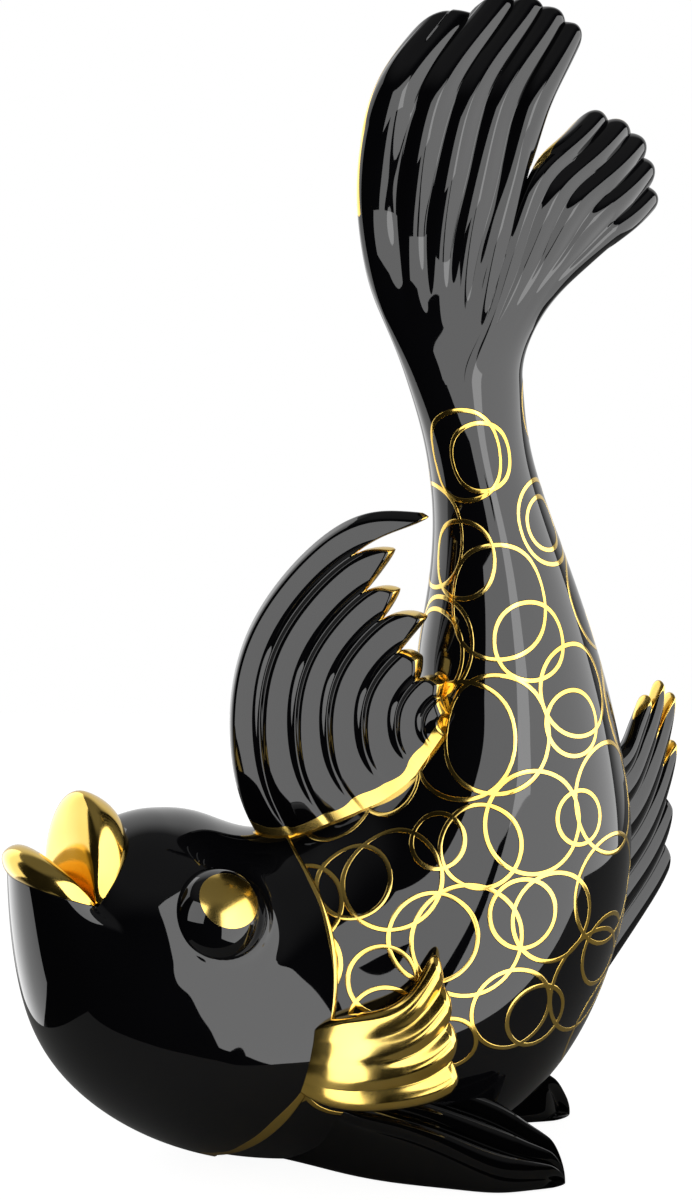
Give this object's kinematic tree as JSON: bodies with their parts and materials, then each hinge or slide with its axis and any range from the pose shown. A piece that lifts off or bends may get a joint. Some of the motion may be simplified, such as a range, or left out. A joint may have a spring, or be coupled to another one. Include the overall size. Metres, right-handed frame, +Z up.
{
  "type": "fish figurine",
  "caption": "Porcelain fish figurine with open lips, bulging eyes, fluted fins and raised tail, standing on its chest and ventral fins; black glaze with gilding.",
  "frame": {"origin": "on the table under the chest, on the trunk's flat belly patch", "axes": "+Z up to the raised tail, -X to the head, -Y to the fish's left side, where the head is turned"},
  "size_m": [0.1967, 0.1114, 0.33],
  "materials": {
    "black_glaze": "mirror-smooth black glaze over porcelain",
    "bright_gold": "fired bright gold over the glaze"
  },
  "bodies": {
    "root": {"head_shell": "black_glaze", "trunk_shell": "black_glaze", "upper_lip": "bright_gold", "lower_lip": "bright_gold", "left_eye": "black_glaze", "right_eye": "black_glaze", "tail_upper_lobe": "black_glaze", "tail_lower_lobe": "black_glaze", "dorsal_fin": "black_glaze", "anal_fin": "black_glaze", "left_pectoral_fin": "bright_gold", "right_pectoral_fin": "bright_gold", "left_ventral_fin": "black_glaze", "right_ventral_fin": "black_glaze"}
  },
  "joints": []
}
